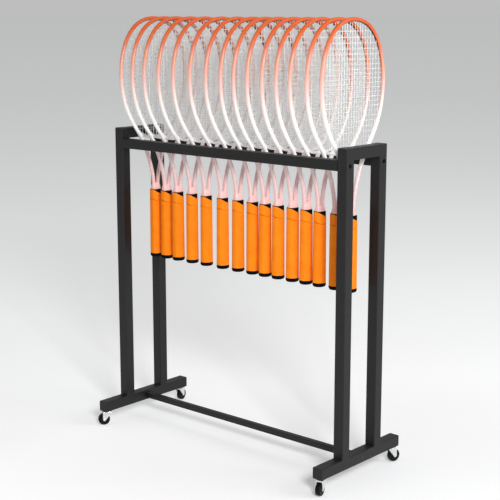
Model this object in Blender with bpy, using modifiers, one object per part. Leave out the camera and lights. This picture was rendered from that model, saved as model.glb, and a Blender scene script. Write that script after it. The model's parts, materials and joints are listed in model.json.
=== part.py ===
"""Racket rack: a stand of welded square tube on four swivel casters, with two bolted rails
that carry fifteen rackets by their throats. Metres, +Z up. The origin is on the floor
under the middle of the rack, +X runs along the rails and +Y to the back."""

import math

import bmesh
import bpy
from mathutils import Matrix, Vector
from mathutils.geometry import interpolate_bezier

MM = 0.001

# Gap between pieces that touch or seat on each other
GAP = 0.3 * MM

# End frames, welded from one square tube. The posts' tops are closed.
RACK_LENGTH = 828 * MM
RACK_HEIGHT = 868 * MM
POST_SPREAD = 168 * MM
TUBE_WIDTH = 30 * MM
TUBE_WALL = 1.5 * MM
TUBE_CORNER = 2.5 * MM
POST_END_PLATE = 3 * MM
FOOT_LENGTH = 335 * MM
FOOT_END_PLATE = 2 * MM

# Rails and stretcher, which hold the end frames apart
RAIL_WIDTH = 26.5 * MM
RAIL_WALL = 1.5 * MM
RAIL_CORNER = 2 * MM
RAIL_DROP = 0.5 * MM
STRETCHER_WIDTH = 16 * MM
STRETCHER_WALL = 1.2 * MM
STRETCHER_CORNER = 1.5 * MM
THREADED_END_PLATE = 6 * MM

# Socket head screws that pull the rails and the stretcher to the end frames
BOLT_SHANK = 6 * MM
BOLT_HEAD = 10 * MM
BOLT_HEAD_HEIGHT = 6 * MM
BOLT_SOCKET = 5 * MM
BOLT_SOCKET_DEPTH = 3 * MM
BOLT_REACH = 15 * MM
ACCESS_HOLE = 11.5 * MM

# Swivel casters
CASTER_HEIGHT = 43 * MM
CASTER_INSET = 18.5 * MM
CASTER_TRAIL = 12 * MM
WHEEL_DIAMETER = 34 * MM
WHEEL_WIDTH = 14 * MM
WHEEL_EDGE = 2.5 * MM
WHEEL_HUB = 15 * MM
WHEEL_DISH = 1.5 * MM
AXLE = 5 * MM
RIVET_HEAD = 7 * MM
RIVET_HEAD_HEIGHT = 1 * MM
FORK_SIDE_PLAY = 0.8 * MM
FORK_SHEET = 1.7 * MM
FORK_TOP_PLATE = 3.4 * MM
FORK_FRONT = 10 * MM
FORK_LEG_END = 4.5 * MM
STEM_SHANK = 8 * MM
STEM_LENGTH = 16 * MM
STEM_FLANGE = 20 * MM
STEM_FLANGE_HEIGHT = 2 * MM
KING_PIN = 6 * MM
KING_PIN_HEAD = 9 * MM
KING_PIN_HEAD_HEIGHT = 1.5 * MM

# Where each caster sits on the feet, and the heading its wheel trails to, from +X
CASTERS = {
    "front_left": (-1, -1, 238),
    "front_right": (1, -1, 285),
    "rear_left": (-1, 1, 103),
    "rear_right": (1, 1, 74),
}

# Racket: an oval tubular head and an open throat in the plane of width and height.
# Heights are from the butt, widths are from the middle to the tube's centre line.
RACKET_LENGTH = 689 * MM
FRAME_TUBE = 9 * MM
FRAME_DEPTH = 11.5 * MM
HEAD_HALF_WIDTH = 126 * MM
HEAD_WIDEST = 530 * MM
HEAD_TOP_PULL = 87 * MM
HEAD_SHOULDER_PULL = 78 * MM
HEAD_SIDE_PULL = 93 * MM
WAIST_HALF_WIDTH = 60.5 * MM
WAIST_HEIGHT = 361 * MM
WAIST_LEAN = 33.4
WAIST_UP_PULL = 35 * MM
WAIST_DOWN_PULL = 39 * MM
THROAT_HALF_WIDTH = 8.4 * MM
THROAT_HEIGHT = 220 * MM
THROAT_PULL = 47 * MM
THROAT_LEAN = 3.8
LEG_SINK = 15 * MM
BRIDGE_TUBE = 8 * MM
BRIDGE_DEPTH = 10 * MM
BRIDGE_MIDDLE = 350 * MM
BRIDGE_MIDDLE_PULL = 43 * MM
BRIDGE_END_HEIGHT = 379 * MM
BRIDGE_END_PULL = 22 * MM

# String bed, drawn coarse: a real bed has sixteen by nineteen strings
STRING_WIDTH = 2 * MM
MAIN_STRINGS = 3
CROSS_STRINGS = 3

# Handle and its grip, eight-sided and a little deeper in the plane of the head
HANDLE_FLATNESS = 0.94
CORE_WIDTH = 23 * MM
SHAFT_WIDTH = 29 * MM
SHAFT_DEPTH = 21 * MM
SHAFT_TOP = 213 * MM
SHAFT_TOP_WIDTH = 27 * MM
SHAFT_TOP_DEPTH = 13 * MM
GRIP_TOP = 197 * MM
GRIP_TOP_WIDTH = 34 * MM
GRIP_WIDTH = 36 * MM
BUTT_WIDTH = 36.5 * MM
BUTT_HEIGHT = 10 * MM
BUTT_ROUND = 3 * MM
BUTT_FLOOR = 4 * MM

# Places of the rackets along the rails, from the left, as they hang in the photograph. They
# are shares of the way from the middle to the last place where a butt clears an end frame.
END_CLEARANCE = 0.8 * MM
RACKET_SHARES = [
    *(-0.921, -0.799, -0.673, -0.522, -0.37, -0.201, -0.045),
    *(0.099, 0.222, 0.347, 0.482, 0.608, 0.729, 0.874, 1.0),
]

# Fineness of the faceted solids
CORNER_STEPS = 2
HOLE_SIDES = 8
WHEEL_SIDES = 16
GRIP_SIDES = 8
TUBE_SIDES = 6
FORK_END_STEPS = 4
HEAD_STEPS = (5, 4, 3)
BRIDGE_STEPS = 2

# Sizes that follow from those above
POST_X = (RACK_LENGTH - TUBE_WIDTH) / 2
POST_Y = (POST_SPREAD - TUBE_WIDTH) / 2
SPAN = RACK_LENGTH - 2 * TUBE_WIDTH
FOOT_TOP = CASTER_HEIGHT + TUBE_WIDTH
FOOT_MIDDLE = CASTER_HEIGHT + TUBE_WIDTH / 2
RAIL_TOP = RACK_HEIGHT - TUBE_WIDTH - RAIL_DROP
RAIL_Y = (POST_SPREAD - RAIL_WIDTH) / 2
RAIL_Z = RAIL_TOP - RAIL_WIDTH / 2
RAIL_CLEAR_WIDTH = POST_SPREAD - 2 * RAIL_WIDTH
LAST_PLACE = SPAN / 2 - END_CLEARANCE - BUTT_WIDTH * HANDLE_FLATNESS / 2
RACKET_PLACES = [share * LAST_PLACE for share in RACKET_SHARES]


def clear_scene():
    for obj in list(bpy.data.objects):
        bpy.data.objects.remove(obj, do_unlink=True)


def new_collection(name):
    collection = bpy.data.collections.new(name)
    bpy.context.scene.collection.children.link(collection)
    return collection


def material(name, color, roughness, metallic=0.0):
    """A Principled material, its colour given as linear red, green and blue."""
    made = bpy.data.materials.new(name)
    made.use_nodes = True
    shader = made.node_tree.nodes["Principled BSDF"]
    shader.inputs["Base Color"].default_value = (*color, 1.0)
    shader.inputs["Roughness"].default_value = roughness
    shader.inputs["Metallic"].default_value = metallic
    return made


def add_object(name, mesh, collection, finish=None, parent=None, place=(0, 0, 0), turn=(0, 0, 0)):
    """An object at its place, in world axes or in its parent's."""
    obj = bpy.data.objects.new(name, mesh)
    collection.objects.link(obj)
    if finish is not None and not mesh.materials:
        mesh.materials.append(finish)
    obj.parent = parent
    obj.location = place
    obj.rotation_euler = turn
    return obj


def add_empty(name, place, turn=(0, 0, 0)):
    return add_object(name, None, rack, place=place, turn=turn)


def mesh_from(bm, name):
    bmesh.ops.recalc_face_normals(bm, faces=bm.faces)
    mesh = bpy.data.meshes.new(name)
    bm.to_mesh(mesh)
    bm.free()
    return mesh


def evaluated_mesh(obj, name):
    """The mesh that an object's curve or modifiers make, welded, with the object removed."""
    bpy.context.view_layer.update()
    graph = bpy.context.evaluated_depsgraph_get()
    mesh = bpy.data.meshes.new_from_object(obj.evaluated_get(graph))
    mesh.name = name
    bm = bmesh.new()
    bm.from_mesh(mesh)
    bmesh.ops.remove_doubles(bm, verts=bm.verts, dist=0.01 * MM)
    bmesh.ops.recalc_face_normals(bm, faces=bm.faces)
    bm.to_mesh(mesh)
    bm.free()
    bpy.data.objects.remove(obj, do_unlink=True)
    return mesh


def smooth(mesh, sharp_degrees=35):
    mesh.shade_smooth()
    mesh.set_sharp_from_angle(angle=math.radians(sharp_degrees))


def combine(obj, others, operation):
    """A live Boolean on obj for each of the others."""
    for other in others:
        modifier = obj.modifiers.new(f"{operation.lower()}_{other.name}", "BOOLEAN")
        modifier.operation = operation
        modifier.solver = "EXACT"
        modifier.object = other


def cutter(name, mesh, place=(0, 0, 0), turn=(0, 0, 0)):
    """A helper object that Booleans cut with or join, left out of the render."""
    obj = add_object(name, mesh, cutters, place=place, turn=turn)
    obj.hide_render = True
    obj.display_type = "WIRE"
    return obj


def rounded_bar(bm, width, length, corner):
    """A square bar along Z, centred, with its four long edges rounded."""
    bar = bmesh.ops.create_cube(bm, size=1.0, matrix=Matrix.Diagonal((width, width, length, 1)))
    long_edges = {
        edge
        for vert in bar["verts"]
        for edge in vert.link_edges
        if abs(edge.verts[0].co.z - edge.verts[1].co.z) > length / 2
    }
    bmesh.ops.bevel(
        bm,
        geom=list(long_edges),
        offset=corner,
        offset_type="OFFSET",
        segments=CORNER_STEPS,
        profile=0.5,
        affect="EDGES",
    )


def bar_mesh(name, width, length, corner):
    bm = bmesh.new()
    rounded_bar(bm, width, length, corner)
    return mesh_from(bm, name)


def tube_mesh(name, width, wall, length, corner):
    """A hollow square tube along Z, centred and open at both ends."""
    bm = bmesh.new()
    rounded_bar(bm, width, length, corner)
    bm.normal_update()
    ends = [face for face in bm.faces if abs(face.normal.z) > 0.9]
    bmesh.ops.delete(bm, geom=ends, context="FACES")
    skin = add_object(name, mesh_from(bm, name), cutters)
    shell = skin.modifiers.new("wall", "SOLIDIFY")
    shell.thickness = wall
    shell.offset = -1
    shell.use_even_offset = True
    return evaluated_mesh(skin, name)


def cylinder_mesh(name, diameter, length, sides=HOLE_SIDES):
    """A cylinder along Z, centred, with a flat of its outline facing +X."""
    bm = bmesh.new()
    bmesh.ops.create_cone(
        bm,
        cap_ends=True,
        segments=sides,
        radius1=diameter / 2,
        radius2=diameter / 2,
        depth=length,
        matrix=Matrix.Rotation(math.pi / sides, 4, "Z"),
    )
    return mesh_from(bm, name)


def hole_mesh(name, diameter, length):
    """A cutter whose flats clear a round pin of this diameter, whichever way the pin is turned."""
    return cylinder_mesh(name, diameter / math.cos(math.pi / HOLE_SIDES), length)


def turned_mesh(name, profile, sides):
    """A solid turned about Z from (radius, height) points that run down its outer side."""
    bm = bmesh.new()
    verts = [bm.verts.new((radius, 0, height)) for radius, height in profile]
    for above, below in zip(verts, verts[1:]):
        bm.edges.new((above, below))
    outline = bpy.data.meshes.new(name)
    bm.to_mesh(outline)
    bm.free()
    obj = add_object(name, outline, cutters)
    screw = obj.modifiers.new("turn", "SCREW")
    screw.steps = sides
    screw.render_steps = sides
    screw.use_merge_vertices = True
    screw.merge_threshold = 0.01 * MM
    return evaluated_mesh(obj, name)


def sheet_mesh(name, outline, thickness):
    """A flat plate in X and Z, centred on Y, from its outline as (x, z) points."""
    curve = bpy.data.curves.new(name, "CURVE")
    curve.dimensions = "2D"
    curve.fill_mode = "BOTH"
    curve.extrude = thickness / 2
    spline = curve.splines.new("POLY")
    spline.points.add(len(outline) - 1)
    for point, (x, z) in zip(spline.points, outline):
        point.co = (x, z, 0, 1)
    spline.use_cyclic_u = True
    obj = bpy.data.objects.new(name, curve)
    cutters.objects.link(obj)
    mesh = evaluated_mesh(obj, name)
    mesh.transform(Matrix.Rotation(math.radians(90), 4, "X"))
    return mesh


def swept_mesh(name, path, width, depth):
    """A six-sided tube along a path of (y, z) points: width in their plane, depth along X."""
    radius = width / 2 / math.cos(math.pi / TUBE_SIDES)
    curve = bpy.data.curves.new(name, "CURVE")
    curve.dimensions = "3D"
    curve.bevel_depth = radius
    curve.bevel_resolution = TUBE_SIDES // 2 - 2
    curve.use_fill_caps = True
    spline = curve.splines.new("POLY")
    spline.points.add(len(path) - 1)
    for point, (y, z) in zip(spline.points, path):
        point.co = (0, y, z, 1)
    obj = bpy.data.objects.new(name, curve)
    cutters.objects.link(obj)
    mesh = evaluated_mesh(obj, name)
    mesh.transform(Matrix.Diagonal((depth / 2 / radius, 1, 1, 1)))
    return mesh


# Tubes of the end frames and the pieces between them
def build_end_frame(side):
    """Foot, two posts and a top bar between them, welded. side is -1 on the left, 1 on the right."""
    hand = "left" if side < 0 else "right"
    post_length = RACK_HEIGHT - FOOT_TOP - GAP
    post_middle = FOOT_TOP + GAP + post_length / 2
    for where, back in (("front", -1), ("rear", 1)):
        name = f"{hand}_{where}_post"
        place = Vector((side * POST_X, back * POST_Y, post_middle))
        post = add_object(
            name, bar_mesh(name, TUBE_WIDTH, post_length, TUBE_CORNER), rack, black_steel, place=place
        )
        bore = cutter(
            f"{name}_bore",
            bar_mesh(
                f"{name}_bore", TUBE_WIDTH - 2 * TUBE_WALL, post_length, TUBE_CORNER - TUBE_WALL
            ),
            place=place - Vector((0, 0, POST_END_PLATE)),
        )
        combine(post, [bore, *bolt_holes(name, side, back * RAIL_Y, RAIL_Z)], "DIFFERENCE")
    top_bar_length = POST_SPREAD - 2 * TUBE_WIDTH - 2 * GAP
    add_object(
        f"{hand}_top_bar",
        tube_mesh(f"{hand}_top_bar", TUBE_WIDTH, TUBE_WALL, top_bar_length, TUBE_CORNER),
        rack,
        black_steel,
        place=(side * POST_X, 0, RACK_HEIGHT - TUBE_WIDTH / 2),
        turn=(math.radians(90), 0, 0),
    )
    build_foot(f"{hand}_foot", side)


def build_foot(name, side):
    """A foot along Y, closed by welded end plates, with a hole for each caster's stem."""
    foot = add_object(
        name,
        bar_mesh(name, TUBE_WIDTH, FOOT_LENGTH, TUBE_CORNER),
        rack,
        black_steel,
        place=(side * POST_X, 0, FOOT_MIDDLE),
        turn=(math.radians(90), 0, 0),
    )
    bore = cutter(
        f"{name}_bore",
        bar_mesh(
            f"{name}_bore",
            TUBE_WIDTH - 2 * TUBE_WALL,
            FOOT_LENGTH - 2 * FOOT_END_PLATE,
            TUBE_CORNER - TUBE_WALL,
        ),
        place=foot.location,
        turn=foot.rotation_euler,
    )
    stem_holes = [
        cutter(
            f"{name}_stem_hole_{where}",
            hole_mesh(f"{name}_stem_hole", STEM_SHANK + 2 * GAP, TUBE_WIDTH),
            place=(side * POST_X, back * stem_y(), CASTER_HEIGHT),
        )
        for where, back in (("front", -1), ("rear", 1))
    ]
    combine(foot, [bore, *stem_holes, *bolt_holes(name, side, 0, FOOT_MIDDLE)], "DIFFERENCE")


def bolt_holes(name, side, y, z):
    """Cutters for a screw along X: a wide hole to reach its head by, then a hole for its shank."""
    inner_face = side * SPAN / 2
    outer_face = side * RACK_LENGTH / 2
    return [
        cutter(
            f"{name}_{kind}",
            hole_mesh(f"{name}_{kind}", diameter, TUBE_WIDTH),
            place=(at, y, z),
            turn=(0, math.radians(90), 0),
        )
        for kind, diameter, at in (
            ("access_hole", ACCESS_HOLE, outer_face),
            ("shank_hole", BOLT_SHANK + 2 * GAP, inner_face),
        )
    ]


def build_crosspiece(name, width, wall, corner, y, z):
    """A rail or stretcher along X, with a bored plate welded into each end."""
    length = SPAN - 2 * GAP
    along_x = (0, math.radians(90), 0)
    piece = add_object(
        name, bar_mesh(name, width, length, corner), rack, black_steel, place=(0, y, z), turn=along_x
    )
    bore = cutter(
        f"{name}_bore",
        bar_mesh(f"{name}_bore", width - 2 * wall, length - 2 * THREADED_END_PLATE, wall / 2),
        place=piece.location,
        turn=along_x,
    )
    screw_hole = cutter(
        f"{name}_screw_hole",
        hole_mesh(f"{name}_screw_hole", BOLT_SHANK + 2 * GAP, length + 2 * TUBE_WIDTH),
        place=piece.location,
        turn=along_x,
    )
    combine(piece, [bore, screw_hole], "DIFFERENCE")


def bolt_mesh():
    """A socket head screw along Z: its head's seat at the origin, its shank downwards."""
    shank = BOLT_SHANK / 2
    head = BOLT_HEAD / 2
    mesh = turned_mesh(
        "socket_screw",
        [
            (0, BOLT_HEAD_HEIGHT),
            (head, BOLT_HEAD_HEIGHT),
            (head, 0),
            (shank, 0),
            (shank, -BOLT_REACH),
            (0, -BOLT_REACH),
        ],
        HOLE_SIDES,
    )
    blank = add_object("socket_screw_blank", mesh, cutters)
    socket = cutter(
        "screw_socket",
        cylinder_mesh("screw_socket", BOLT_SOCKET, 2 * BOLT_SOCKET_DEPTH, sides=6),
        place=(0, 0, BOLT_HEAD_HEIGHT),
    )
    combine(blank, [socket], "DIFFERENCE")
    finished = evaluated_mesh(blank, "socket_screw")
    smooth(finished)
    return finished


def add_bolt(name, side, y, z, mesh):
    """A screw whose head bears on the inside of the end frame's inner wall."""
    seat = side * (SPAN / 2 + TUBE_WALL + GAP)
    add_object(
        name, mesh, rack, dark_steel, place=(seat, y, z), turn=(0, side * math.radians(90), 0)
    )


# Casters
def stem_y():
    return FOOT_LENGTH / 2 - CASTER_INSET


def caster_heights():
    """Heights of a caster's seams above the floor, from its flange down to the pin's head."""
    flange_top = CASTER_HEIGHT - GAP
    flange_bottom = flange_top - STEM_FLANGE_HEIGHT
    plate_top = flange_bottom - GAP
    plate_bottom = plate_top - FORK_TOP_PLATE
    head_top = plate_bottom - GAP
    return flange_top, flange_bottom, plate_top, plate_bottom, head_top


def stem_mesh():
    """Threaded stem, flange and the king pin that the fork turns on, turned in one."""
    flange_top, flange_bottom, _, _, head_top = caster_heights()
    mesh = turned_mesh(
        "caster_stem",
        [
            (0, CASTER_HEIGHT + STEM_LENGTH),
            (STEM_SHANK / 2, CASTER_HEIGHT + STEM_LENGTH),
            (STEM_SHANK / 2, flange_top),
            (STEM_FLANGE / 2, flange_top),
            (STEM_FLANGE / 2, flange_bottom),
            (KING_PIN / 2, flange_bottom),
            (KING_PIN / 2, head_top),
            (KING_PIN_HEAD / 2, head_top),
            (KING_PIN_HEAD / 2, head_top - KING_PIN_HEAD_HEIGHT),
            (0, head_top - KING_PIN_HEAD_HEIGHT),
        ],
        HOLE_SIDES,
    )
    smooth(mesh)
    return mesh


def fork_outline(plate_top, plate_bottom):
    """Side view of the fork, its king pin at x = 0 and its legs tapering to the axle."""
    axle_z = WHEEL_DIAMETER / 2
    back = CASTER_TRAIL + FORK_LEG_END
    outline = [
        (-FORK_FRONT, plate_top),
        (-FORK_FRONT, plate_bottom),
    ]
    for step in range(FORK_END_STEPS + 1):
        angle = math.radians(180 + 180 * step / FORK_END_STEPS)
        outline.append(
            (
                CASTER_TRAIL + FORK_LEG_END * math.cos(angle),
                axle_z + FORK_LEG_END * math.sin(angle),
            )
        )
    outline.append((back, plate_top))
    return outline


def fork_mesh():
    """Bent steel fork with its axle riveted in. It faces +X, its king pin on the Z axis."""
    _, _, plate_top, plate_bottom, _ = caster_heights()
    inside = WHEEL_WIDTH + 2 * FORK_SIDE_PLAY
    outside = inside + 2 * FORK_SHEET
    blank = add_object(
        "fork_blank", sheet_mesh("fork_blank", fork_outline(plate_top, plate_bottom), outside), cutters
    )
    slot = bmesh.new()
    slot_size = Matrix.Diagonal((4 * CASTER_HEIGHT, inside, plate_bottom, 1))
    bmesh.ops.create_cube(
        slot, size=1.0, matrix=Matrix.Translation((0, 0, plate_bottom / 2)) @ slot_size
    )
    pin_hole = hole_mesh("king_pin_hole", KING_PIN + 2 * GAP, CASTER_HEIGHT)
    axle_place = Matrix.Translation((CASTER_TRAIL, 0, WHEEL_DIAMETER / 2))
    across = Matrix.Rotation(math.radians(90), 4, "X")
    axle = cylinder_mesh("axle", AXLE, outside)
    axle.transform(axle_place @ across)
    cuts = [
        cutter("fork_slot", mesh_from(slot, "fork_slot")),
        cutter("king_pin_hole", pin_hole, place=(0, 0, plate_top)),
    ]
    combine(blank, cuts, "DIFFERENCE")
    combine(blank, [cutter("axle_pin", axle)], "UNION")
    for side in (-1, 1):
        rivet = cylinder_mesh("rivet_head", RIVET_HEAD, 2 * RIVET_HEAD_HEIGHT)
        rivet.transform(axle_place @ Matrix.Translation((0, side * outside / 2, 0)) @ across)
        combine(blank, [cutter(f"rivet_head_{side}", rivet)], "UNION")
    mesh = evaluated_mesh(blank, "caster_fork")
    smooth(mesh)
    return mesh


def wheel_mesh():
    """A moulded wheel turned about its own Y axis: bore, raised hub, dished web and tread."""
    half = WHEEL_WIDTH / 2
    rim = WHEEL_DIAMETER / 2
    hub = WHEEL_HUB / 2
    bore = AXLE / 2 + GAP
    dish = half - WHEEL_DISH
    face = [
        (bore, half),
        (hub, half),
        (hub + WHEEL_DISH, dish),
        (rim - WHEEL_EDGE - WHEEL_DISH, dish),
        (rim - WHEEL_EDGE, half),
        (rim, half - WHEEL_EDGE),
    ]
    profile = face + [(radius, -height) for radius, height in reversed(face)]
    mesh = turned_mesh("caster_wheel", profile + [profile[0]], WHEEL_SIDES)
    mesh.transform(Matrix.Rotation(math.radians(90), 4, "X"))
    smooth(mesh)
    return mesh


def build_caster(name, side, back, heading, meshes):
    """Stem in the foot, fork turning on the stem, wheel turning in the fork."""
    place = Vector((side * POST_X, back * stem_y(), 0))
    turn = (0, 0, math.radians(heading))
    add_object(f"{name}_caster_stem", meshes["stem"], rack, zinc, place=place)
    swivel = add_empty(f"{name}_swivel", place, turn)
    add_object(f"{name}_caster_fork", meshes["fork"], rack, bright_zinc, parent=swivel)
    add_object(
        f"{name}_caster_wheel",
        meshes["wheel"],
        rack,
        black_wheel,
        parent=swivel,
        place=(CASTER_TRAIL, 0, WHEEL_DIAMETER / 2),
    )


# Rackets
def head_outline():
    """Right half of the frame tube's centre line as (y, z) points, from the top down."""
    crest = RACKET_LENGTH - FRAME_TUBE / 2
    lean = Vector((math.sin(math.radians(WAIST_LEAN)), math.cos(math.radians(WAIST_LEAN))))
    throat_lean = Vector((math.sin(math.radians(THROAT_LEAN)), math.cos(math.radians(THROAT_LEAN))))
    top = Vector((0, crest))
    side = Vector((HEAD_HALF_WIDTH, HEAD_WIDEST))
    waist = Vector((WAIST_HALF_WIDTH, WAIST_HEIGHT))
    throat = Vector((THROAT_HALF_WIDTH, THROAT_HEIGHT))
    across = Vector((1, 0))
    up = Vector((0, 1))
    stretches = (
        (top, top + HEAD_TOP_PULL * across, side + HEAD_SHOULDER_PULL * up, side),
        (side, side - HEAD_SIDE_PULL * up, waist + WAIST_UP_PULL * lean, waist),
        (waist, waist - WAIST_DOWN_PULL * lean, throat + THROAT_PULL * throat_lean, throat),
    )
    points = [top]
    for (start, first, second, end), steps in zip(stretches, HEAD_STEPS):
        points += interpolate_bezier(start, first, second, end, steps + 1)[1:]
    points.append(throat - LEG_SINK * throat_lean)
    return points


def crossing(points, axis, value):
    """Where a run of points first reaches a value of y (axis 0) or z (axis 1), and its direction
    there."""
    for first, second in zip(points, points[1:]):
        if min(first[axis], second[axis]) <= value <= max(first[axis], second[axis]):
            share = (value - first[axis]) / (second[axis] - first[axis])
            return first.lerp(second, share), (second - first).normalized()
    raise ValueError("the outline doesn't reach that far")


def bridge_outline():
    """Right half of the bridge's centre line, from its middle out to the frame tube."""
    end, down_the_leg = crossing(head_outline(), 1, BRIDGE_END_HEIGHT)
    middle = Vector((0, BRIDGE_MIDDLE))
    return interpolate_bezier(
        middle,
        middle + Vector((BRIDGE_MIDDLE_PULL, 0)),
        end + BRIDGE_END_PULL * down_the_leg,
        end,
        BRIDGE_STEPS + 1,
    )


def hanging_height():
    """Height of the butt when the throat rests in the rails' inner top edges."""
    outline = head_outline()
    reach = RAIL_CLEAR_WIDTH / 2 - GAP
    low, high = THROAT_HEIGHT, HEAD_WIDEST
    while high - low > 0.001 * MM:
        middle = (low + high) / 2
        point, direction = crossing(outline, 1, middle)
        outer_half_width = point.x + FRAME_TUBE / 2 / abs(direction.y)
        if outer_half_width < reach:
            low = middle
        else:
            high = middle
    return RAIL_TOP - low


def both_sides(half):
    """A right half's points, from the middle out, and their mirror image as one path."""
    left = [(-point.x, point.y) for point in reversed(half[1:])]
    return left + [(point.x, point.y) for point in half]


def string_ends():
    """Both ends of each main and cross string, on the centre lines of the tubes round it."""
    outline = head_outline()
    bridge = bridge_outline()
    above_bridge = [point for point in reversed(outline) if point.y > BRIDGE_END_HEIGHT]
    bed_bottom = bridge + above_bridge
    ends = []
    main_pitch = 2 * HEAD_HALF_WIDTH / (MAIN_STRINGS + 1)
    for index in range(MAIN_STRINGS):
        y = (index + 1) * main_pitch - HEAD_HALF_WIDTH
        bottom, _ = crossing(bed_bottom, 0, abs(y))
        top, _ = crossing(outline, 0, abs(y))
        ends.append(((y, bottom.y), (y, top.y)))
    cross_pitch = (outline[0].y - BRIDGE_MIDDLE) / (CROSS_STRINGS + 1)
    for index in range(CROSS_STRINGS):
        z = BRIDGE_MIDDLE + (index + 1) * cross_pitch
        edge, _ = crossing(outline, 1, z)
        ends.append(((-edge.x, z), (edge.x, z)))
    return ends


def string_mesh(start, end):
    """A square bar between two (y, z) points that lie on one level or one above the other."""
    bm = bmesh.new()
    middle = Matrix.Translation((0, (start[0] + end[0]) / 2, (start[1] + end[1]) / 2))
    size = (STRING_WIDTH, end[0] - start[0] + STRING_WIDTH, end[1] - start[1] + STRING_WIDTH, 1)
    bmesh.ops.create_cube(bm, size=1.0, matrix=middle @ Matrix.Diagonal(size))
    return mesh_from(bm, "string")


def handle_core_mesh():
    """Eight-sided handle inside the grip, and the shaft above it that narrows to the throat."""
    bm = bmesh.new()
    half_across_flats = 0.5 / math.cos(math.pi / GRIP_SIDES)
    bmesh.ops.create_cone(
        bm,
        cap_ends=True,
        segments=GRIP_SIDES,
        radius1=half_across_flats,
        radius2=half_across_flats,
        depth=1.0,
        matrix=Matrix.Rotation(math.pi / GRIP_SIDES, 4, "Z"),
    )
    core = (CORE_WIDTH * HANDLE_FLATNESS, CORE_WIDTH)
    sections = [
        (BUTT_FLOOR + GAP, *core),
        (GRIP_TOP + GAP, *core),
        (GRIP_TOP + GAP, SHAFT_DEPTH, SHAFT_WIDTH),
        (SHAFT_TOP, SHAFT_TOP_DEPTH, SHAFT_TOP_WIDTH),
    ]
    top = max(bm.faces, key=lambda face: face.calc_center_median().z)
    rings = [[vert for vert in bm.verts if vert.co.z < 0], list(top.verts)]
    for _ in sections[2:]:
        made = bmesh.ops.extrude_discrete_faces(bm, faces=[top])
        top = made["faces"][0]
        rings.append(list(top.verts))
    for ring, (height, depth, width) in zip(rings, sections):
        for vert in ring:
            vert.co = (vert.co.x * depth, vert.co.y * width, height)
    return mesh_from(bm, "handle_core")


def racket_frame_mesh():
    """Frame tube, bridge, string bed and handle core, joined into one moulding."""
    tube = swept_mesh("frame_tube", both_sides(head_outline()), FRAME_TUBE, FRAME_DEPTH)
    blank = add_object("frame_blank", tube, cutters)
    bridge = swept_mesh("bridge", both_sides(bridge_outline()), BRIDGE_TUBE, BRIDGE_DEPTH)
    joined = [cutter("bridge", bridge), cutter("handle_core", handle_core_mesh())]
    for index, (start, end) in enumerate(string_ends()):
        joined.append(cutter(f"string_{index + 1:02d}", string_mesh(start, end)))
    combine(blank, joined, "UNION")
    mesh = evaluated_mesh(blank, "racket_frame")
    smooth(mesh)
    return mesh


def grip_mesh():
    """Wrapped grip and its butt cap: an eight-sided sleeve on the handle's core."""
    half_flats = 0.5 / math.cos(math.pi / GRIP_SIDES)
    bore = (CORE_WIDTH + 2 * GAP) * half_flats
    butt = BUTT_WIDTH * half_flats
    mesh = turned_mesh(
        "racket_grip",
        [
            (0, BUTT_FLOOR),
            (bore, BUTT_FLOOR),
            (bore, GRIP_TOP),
            (GRIP_TOP_WIDTH * half_flats, GRIP_TOP),
            (GRIP_WIDTH * half_flats, BUTT_HEIGHT),
            (butt, BUTT_ROUND),
            (butt - BUTT_ROUND, 0),
            (0, 0),
        ],
        GRIP_SIDES,
    )
    mesh.transform(Matrix.Rotation(math.pi / GRIP_SIDES, 4, "Z"))
    mesh.transform(Matrix.Diagonal((HANDLE_FLATNESS, 1, 1, 1)))
    smooth(mesh)
    return mesh


def build_racket(number, x, z, frame, grip):
    """A racket that lifts straight up off the rails, with its grip on its handle."""
    name = f"racket_{number:02d}"
    butt = add_empty(f"{name}_butt", (x, 0, z))
    add_object(f"{name}_frame", frame, rack, white_lacquer, parent=butt)
    add_object(f"{name}_grip", grip, rack, orange_wrap, parent=butt)


clear_scene()
rack = new_collection("racket_rack")
cutters = new_collection("cutters")

black_steel = material("black_powder_coat", (0.022, 0.022, 0.023), 0.5)
dark_steel = material("black_oxide_steel", (0.015, 0.015, 0.016), 0.45, metallic=0.6)
zinc = material("zinc_plated_steel", (0.55, 0.56, 0.58), 0.35, metallic=1.0)
bright_zinc = material("bright_zinc_fork", (0.62, 0.63, 0.65), 0.28, metallic=1.0)
black_wheel = material("black_nylon_wheel", (0.012, 0.012, 0.013), 0.5)
white_lacquer = material("white_racket_lacquer", (0.83, 0.8, 0.79), 0.3)
orange_wrap = material("orange_grip_wrap", (0.95, 0.24, 0.02), 0.75)

screw = bolt_mesh()
for side, hand in ((-1, "left"), (1, "right")):
    build_end_frame(side)
    add_bolt(f"{hand}_front_rail_bolt", side, -RAIL_Y, RAIL_Z, screw)
    add_bolt(f"{hand}_rear_rail_bolt", side, RAIL_Y, RAIL_Z, screw)
    add_bolt(f"{hand}_stretcher_bolt", side, 0, FOOT_MIDDLE, screw)
build_crosspiece("front_rail", RAIL_WIDTH, RAIL_WALL, RAIL_CORNER, -RAIL_Y, RAIL_Z)
build_crosspiece("rear_rail", RAIL_WIDTH, RAIL_WALL, RAIL_CORNER, RAIL_Y, RAIL_Z)
build_crosspiece(
    "stretcher", STRETCHER_WIDTH, STRETCHER_WALL, STRETCHER_CORNER, 0, FOOT_MIDDLE
)

caster_meshes = {"stem": stem_mesh(), "fork": fork_mesh(), "wheel": wheel_mesh()}
for name, (side, back, heading) in CASTERS.items():
    build_caster(name, side, back, heading, caster_meshes)

hanging = hanging_height()
frame_moulding = racket_frame_mesh()
grip_sleeve = grip_mesh()
for number, x in enumerate(RACKET_PLACES, start=1):
    build_racket(number, x, hanging, frame_moulding, grip_sleeve)
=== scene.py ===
import json
import math

import bmesh
import bpy
from mathutils import Matrix, Vector
from mathutils.geometry import interpolate_bezier


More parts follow.
